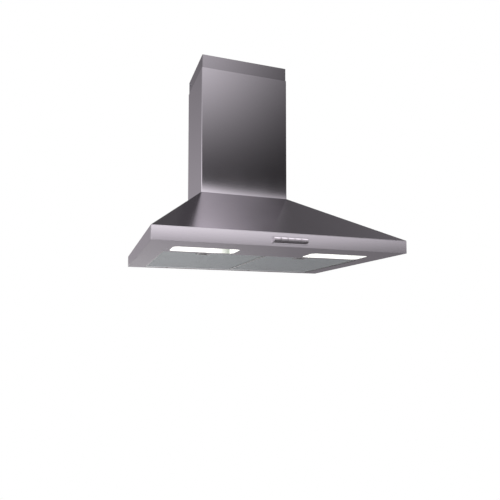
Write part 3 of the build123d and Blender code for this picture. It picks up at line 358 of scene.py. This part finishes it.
def add_strand(verts, faces, run, strand):
    """One flat strand through the points of a run, closed at both ends."""
    first = len(verts)
    for x, y, z in run:
        for dy, dz in ((-1, -1), (1, -1), (1, 1), (-1, 1)):
            verts.append((x, y + dy * strand[0] / 2, z + dz * strand[1] / 2))
    last = len(verts) - 4
    for base in range(first, last, 4):
        for i in range(4):
            j = (i + 1) % 4
            faces.append((base + i, base + j, base + 4 + j, base + 4 + i))
    faces.append((first, first + 3, first + 2, first + 1))
    faces.append((last, last + 1, last + 2, last + 3))


def expanded_mesh(name, lowest, highest, holes, cell, strand, layers):
    """Slit and drawn metal: flat layers of zigzag strands that meet at their peaks and break at the holes."""
    verts = []
    faces = []
    half_run = cell[0] / 2
    swing = cell[1] / 4
    # Peaks stand a little high and low in turn, as drawing twists the strands
    lift = strand[1] * 0.4
    columns = int((highest[0] - lowest[0]) / half_run)
    rows = int((highest[1] - lowest[1] - 2 * swing) / (2 * swing))
    for layer in range(layers):
        height = lowest[2] + (highest[2] - lowest[2]) * (layer + 0.5) / layers
        for row in range(rows + 1):
            middle = lowest[1] + swing + row * 2 * swing
            runs = [[]]
            for column in range(columns + 1):
                x = lowest[0] + column * half_run
                peak = 1 if (column + row + layer) % 2 else -1
                y = middle + peak * (swing - strand[0] / 2)
                if any(a[0] < x - half_run / 2 < b[0] and a[1] < y < b[1] for a, b in holes):
                    runs.append([])
                runs[-1].append((x, y, height + peak * lift))
            for run in runs:
                if len(run) > 1:
                    add_strand(verts, faces, run, strand)
    return solid(name, verts, faces)


def folded_hem(name, spans, low_z, sheet, reach, tip_z):
    """The bright sloping edge that is folded up to the net, in spans that each have a rear of their own."""
    verts = []
    faces = []
    for left_x, right_x, rear_y in spans:
        a, b, c, d, e, f = range(len(verts), len(verts) + 6)
        for x in (left_x, right_x):
            verts += [(x, rear_y, low_z), (x, rear_y, low_z + sheet), (x, rear_y - reach, tip_z)]
        faces += [(a, c, b), (d, e, f), (a, d, f, c), (a, b, e, d), (b, c, f, e)]
    return solid(name, verts, faces)


# The filters' nets, open round the latch and the hinge blocks
NET_CELL = (9 * MM, 5.5 * MM)
NET_STRAND = (2.0 * MM, 0.5 * MM)
NET_LAYERS = 2
LATCH_MARGIN = Vector((3.4 * MM, 13.4 * MM, 0))
HINGE_SPACING = 126 * MM
BLOCK_WIDTH = 16 * MM
BLOCK_DEPTH = 16 * MM
# Their rear hems, just before the frame's rear flange and, where they pass these, the hinge blocks
FLANGE_DEPTH = 12 * MM
HEM_SHEET = 1 * MM
HEM_REACH = 7.5 * MM
HEM_GAP = 0.05 * MM
HEM_END_GAP = 2.5 * MM

net_aluminium = mill_aluminium("drawn_aluminium_net", "#F1F9F7", 0.3, 1.0 * MM)
for side in ("left", "right"):
    low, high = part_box(f"filter_mesh_{side}")
    latch_low, latch_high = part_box(f"filter_latch_{side}")
    frame_low, frame_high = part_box(f"filter_frame_{side}")
    rear_y = frame_high[1]
    holes = [(Vector(latch_low) - LATCH_MARGIN, Vector(latch_high) + LATCH_MARGIN)]
    ends = [frame_low[0] + HEM_END_GAP]
    for aside in (-HINGE_SPACING / 2, HINGE_SPACING / 2):
        block_x = (low[0] + high[0]) / 2 + aside
        block_left = block_x - BLOCK_WIDTH / 2
        block_right = block_x + BLOCK_WIDTH / 2
        holes.append(((block_left, rear_y - BLOCK_DEPTH), (block_right, rear_y)))
        ends += [block_left, block_right]
    ends.append(frame_high[0] - HEM_END_GAP)
    net = expanded_mesh(f"filter_net_{side}", low, high, holes, NET_CELL, NET_STRAND, NET_LAYERS)
    net.data.materials.append(net_aluminium)
    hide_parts(f"filter_mesh_{side}")
    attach(net, f"filter_{side}")
    flange_y = rear_y - FLANGE_DEPTH - HEM_GAP
    block_y = rear_y - BLOCK_DEPTH - HEM_GAP
    spans = list(zip(ends, ends[1:], (flange_y, block_y, flange_y, block_y, flange_y)))
    tip_z = low[2] - HEM_GAP
    hem = folded_hem(f"filter_hem_{side}", spans, frame_low[2], HEM_SHEET, HEM_REACH, tip_z)
    hem.data.materials.append(net_aluminium)
    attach(hem, f"filter_{side}")

# Each return spring, which shortens towards its fixed end as its button or latch moves, is replaced by a coil
# with a mesh of its own, carried by its joint's parent
for joint in frame["record"]["behaviour"]["joints"]:
    for change in joint.get("deforming_nodes", []):
        spring = nodes[change["node"]]
        coil = bpy.data.objects.new(change["node"].replace("spring", "coil"), spring.data.copy())
        bpy.context.scene.collection.objects.link(coil)
        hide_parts(change["node"])
        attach(coil, joint["parent"])
        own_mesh(coil)


def toward(aside, elevation):
    """The direction so many degrees right of straight ahead of the hood, and so many above level."""
    flat = math.cos(math.radians(elevation))
    return (
        math.sin(math.radians(aside)) * flat,
        -math.cos(math.radians(aside)) * flat,
        math.sin(math.radians(elevation)),
    )


# Studio: what the metal mirrors is a long light strip low ahead, soft lamps, a pale ceiling and a dim room.
# Ahead is -Y. Directions are one long, so a height in them is the sine of its elevation.
world = bpy.data.worlds.new("studio")
bpy.context.scene.world = world
world.use_nodes = True
tree = world.node_tree
tree.nodes.clear()
direction = add(tree, "ShaderNodeTexCoord").outputs["Generated"]
axes = add(tree, "ShaderNodeSeparateXYZ", {0: direction}).outputs

# Grey levels of the room by elevation in degrees: ahead of the hood, in a doorway there, and behind the hood
below = [(-89, 0.1), (-30, 0.12), (-5, 0.24), (9, 0.29)]
ceiling = [(50, 0.6), (89, 0.6)]
behind_below = [(-89, 0.12), (-45, 0.6), (-18, 0.6), (-13, 0.37), (-8, 0.38)]
behind_above = [(10, 0.36), (16, 0.33), (28, 0.22), (36, 0.1), (48, 0.1), (58, 0.35), (72, 0.5), (84, 0.6)]
room_levels = {
    "ahead": below + [(14, 0.36), (30, 0.35), (44, 0.35)] + ceiling,
    "doorway": below + [(12, 0.1), (17, 0.0), (44, 0.0)] + ceiling,
    "behind": behind_below + behind_above,
}
upward = add(tree, "ShaderNodeMapRange", {"Value": axes["Z"], "From Min": -1.0})
rooms = {}
for part, levels in room_levels.items():
    ramp = add(tree, "ShaderNodeValToRGB", {"Fac": upward.outputs[0]})
    stops = [((math.sin(math.radians(angle)) + 1) / 2, (grey, grey, grey, 1.0)) for angle, grey in levels]
    set_stops(ramp.color_ramp, stops)
    rooms[part] = ramp.outputs["Color"]

# The doorway is what makes the chimney's front dark. Its edge is soft, between two angles from its middle.
DOORWAY = toward(20, 29)
DOORWAY_OUTER = math.radians(28)
DOORWAY_INNER = math.radians(18)
middle = add(tree, "ShaderNodeVectorMath", {0: direction, 1: DOORWAY}, operation="DOT_PRODUCT")
inside = add(
    tree,
    "ShaderNodeMapRange",
    {
        "Value": middle.outputs["Value"],
        "From Min": math.cos(DOORWAY_OUTER),
        "From Max": math.cos(DOORWAY_INNER),
    },
    interpolation_type="SMOOTHSTEP",
)
room_ahead = add(
    tree,
    "ShaderNodeMix",
    {"Factor": inside.outputs[0], "A": rooms["ahead"], "B": rooms["doorway"]},
    data_type="RGBA",
)
behind = add(tree, "ShaderNodeMapRange", {"Value": axes["Y"], "From Min": -0.2, "From Max": 0.2})
room = add(
    tree,
    "ShaderNodeMix",
    {"Factor": behind.outputs[0], "A": room_ahead.outputs["Result"], "B": rooms["behind"]},
    data_type="RGBA",
)

# The strip runs away to the right, so both its edges sink and draw together there
LOW_EDGE_SLOPE = (0.068, 0, 1)
HIGH_EDGE_SLOPE = (0.137, 0, 1)
low_edge = add(tree, "ShaderNodeVectorMath", {0: direction, 1: LOW_EDGE_SLOPE}, operation="DOT_PRODUCT")
high_edge = add(tree, "ShaderNodeVectorMath", {0: direction, 1: HIGH_EDGE_SLOPE}, operation="DOT_PRODUCT")
rise = add(
    tree,
    "ShaderNodeMapRange",
    {"Value": low_edge.outputs["Value"], "From Min": 0.171, "From Max": 0.212, "To Max": 1.4},
)
drop = add(
    tree,
    "ShaderNodeMapRange",
    {
        "Value": high_edge.outputs["Value"],
        "From Min": 0.286,
        "From Max": 0.310,
        "To Min": 1.0,
        "To Max": 0.0,
    },
    interpolation_type="SMOOTHSTEP",
)
# It lies ahead only, is faint at its left end, and like the room it grows dim to the right
RIGHT_END = 0.75
ahead = add(
    tree,
    "ShaderNodeMapRange",
    {"Value": axes["Y"], "From Min": -0.3, "From Max": 0.0, "To Min": 1.0, "To Max": 0.0},
)
left_end = add(
    tree, "ShaderNodeMapRange", {"Value": axes["X"], "From Min": -0.6, "From Max": -0.15, "To Min": 0.3}
)
strip_fall = add(
    tree,
    "ShaderNodeMapRange",
    {"Value": axes["X"], "From Min": 0.1, "From Max": RIGHT_END, "To Min": 1.04, "To Max": 0.3},
)
room_fall = add(
    tree,
    "ShaderNodeMapRange",
    {"Value": axes["X"], "From Min": -0.3, "From Max": RIGHT_END, "To Min": 1.5, "To Max": 0.15},
)
strip = rise
for share in (drop, ahead, left_end, strip_fall):
    strip = add(tree, "ShaderNodeMath", {0: strip.outputs[0], 1: share.outputs[0]}, operation="MULTIPLY")
dim_room = add(
    tree, "ShaderNodeVectorMath", {0: room.outputs["Result"], 1: room_fall.outputs[0]}, operation="MULTIPLY"
)
lit = add(tree, "ShaderNodeVectorMath", {0: dim_room.outputs[0], 1: strip.outputs[0]}, operation="ADD")

# Soft lamps: degrees right of straight ahead, elevation and spread in degrees, level
SOFT_LAMPS = [
    (9.2, 32.4, 7.1, 1.05),
    (15.0, 48.0, 4.5, 2.3),
    (-78.0, 22.0, 17.0, 0.45),
    (100.0, 8.0, 25.0, 0.55),
    (-22.0, 5.0, 6.0, 1.6),
    (50.0, 65.0, 9.0, 2.2),
]
for aside, elevation, spread, level in SOFT_LAMPS:
    sharpness = 1 / math.radians(spread) ** 2
    near = add(
        tree, "ShaderNodeVectorMath", {0: direction, 1: toward(aside, elevation)}, operation="DOT_PRODUCT"
    )
    off = add(
        tree,
        "ShaderNodeMath",
        {0: near.outputs["Value"], 1: sharpness, 2: -sharpness},
        operation="MULTIPLY_ADD",
    )
    spot = add(tree, "ShaderNodeMath", {0: off.outputs[0]}, operation="EXPONENT")
    lamp = add(tree, "ShaderNodeMath", {0: spot.outputs[0], 1: level}, operation="MULTIPLY")
    lit = add(tree, "ShaderNodeVectorMath", {0: lit.outputs[0], 1: lamp.outputs[0]}, operation="ADD")
# A touch less green than red and blue
ROOM_TINT = (1.0, 0.945, 1.008)
tinted = add(tree, "ShaderNodeVectorMath", {0: lit.outputs[0], 1: ROOM_TINT}, operation="MULTIPLY")

# The white backdrop: all that the camera sees, and what metal and glass show of it low behind the hood
rays = add(tree, "ShaderNodeLightPath").outputs
height = add(tree, "ShaderNodeMath", {0: axes["Z"]}, operation="ABSOLUTE")
low_down = add(
    tree,
    "ShaderNodeMapRange",
    {"Value": height.outputs[0], "From Min": 0.111, "From Max": 0.119, "To Min": 1.0, "To Max": 0.0},
)
far_back = add(tree, "ShaderNodeMapRange", {"Value": axes["Y"], "From Min": 0.6, "From Max": 0.9})
to_left = add(
    tree,
    "ShaderNodeMapRange",
    {"Value": axes["X"], "From Min": 0.22, "From Max": 0.4, "To Min": 1.0, "To Max": 0.0},
)
low_behind = low_down
for share in (far_back, to_left):
    low_behind = add(
        tree, "ShaderNodeMath", {0: low_behind.outputs[0], 1: share.outputs[0]}, operation="MULTIPLY"
    )
mirrored = add(
    tree, "ShaderNodeMath", {0: rays["Is Glossy Ray"], 1: rays["Is Transmission Ray"]}, operation="ADD"
)
shown = add(
    tree,
    "ShaderNodeMath",
    {0: mirrored.outputs[0], 1: low_behind.outputs[0], 2: rays["Is Camera Ray"]},
    operation="MULTIPLY_ADD",
    use_clamp=True,
)
studio_light = add(tree, "ShaderNodeBackground", {"Color": tinted.outputs[0], "Strength": 1.0})
white = add(tree, "ShaderNodeBackground", {"Color": (1, 1, 1, 1), "Strength": 1.0})
sky = add(tree, "ShaderNodeMixShader", {0: shown.outputs[0], 1: studio_light.outputs[0], 2: white.outputs[0]})
add(tree, "ShaderNodeOutputWorld", {"Surface": sky.outputs[0]})

# A pale round floor well below the hood, which fades into the backdrop at its rim
FLOOR_MIDDLE = Vector((0, -0.25, -1.5))
FLOOR_RADIUS = 1.6
FADE_START = 0.6
RIM_POINTS = 64
rim = []
for i in range(RIM_POINTS):
    turn = math.tau * i / RIM_POINTS
    rim.append(FLOOR_MIDDLE + FLOOR_RADIUS * Vector((math.cos(turn), math.sin(turn), 0)))
floor = solid("floor", rim, [tuple(range(RIM_POINTS))])
floor.visible_glossy = False
floor_paint, tree, shader = start("matt_white_floor_paint", "#F2F1F0", Roughness=0.8)
point = add(tree, "ShaderNodeTexCoord").outputs["Object"]
centred = add(tree, "ShaderNodeVectorMath", {0: point, 1: FLOOR_MIDDLE}, operation="SUBTRACT")
reach = add(tree, "ShaderNodeVectorMath", {0: centred.outputs[0]}, operation="LENGTH")
fade = add(
    tree,
    "ShaderNodeMapRange",
    {
        "Value": reach.outputs["Value"],
        "From Min": FADE_START,
        "From Max": FLOOR_RADIUS,
        "To Min": 1.0,
        "To Max": 0.0,
    },
)
tree.links.new(fade.outputs[0], shader.inputs["Alpha"])
floor.data.materials.append(floor_paint)

LAMP_AIM = Vector((0, -0.25, 0.2))


def soft_box(name, place, size, power):
    """A square soft lamp that faces the hood and lights it without showing in the metal."""
    box = bpy.data.objects.new(name, bpy.data.lights.new(name, "AREA"))
    box.data.size = size
    box.data.energy = power
    box.location = place
    box.rotation_euler = (LAMP_AIM - Vector(place)).to_track_quat("-Z", "Y").to_euler()
    box.visible_glossy = False
    bpy.context.scene.collection.objects.link(box)


soft_box("front_lamp", (0.4, -2.4, 1.6), 1.2, 30.0)
soft_box("left_lamp", (-2.2, -1.0, 0.8), 1.2, 20.0)

# The camera stands low and left of the hood, at the photograph's viewing angle
CAMERA_TILT = math.radians(90 + 3.28)
CAMERA_TURN = math.radians(-18.80)
camera = bpy.data.objects.new("camera", bpy.data.cameras.new("camera"))
camera.location = (-0.4294, -1.4805, -0.1697)
camera.rotation_euler = (CAMERA_TILT, 0.0, CAMERA_TURN)
camera.data.sensor_width = 36.0
camera.data.lens = 35.94
camera.data.shift_y = 0.0934
bpy.context.scene.collection.objects.link(camera)
bpy.context.scene.camera = camera

bpy.context.scene.view_settings.view_transform = "Standard"
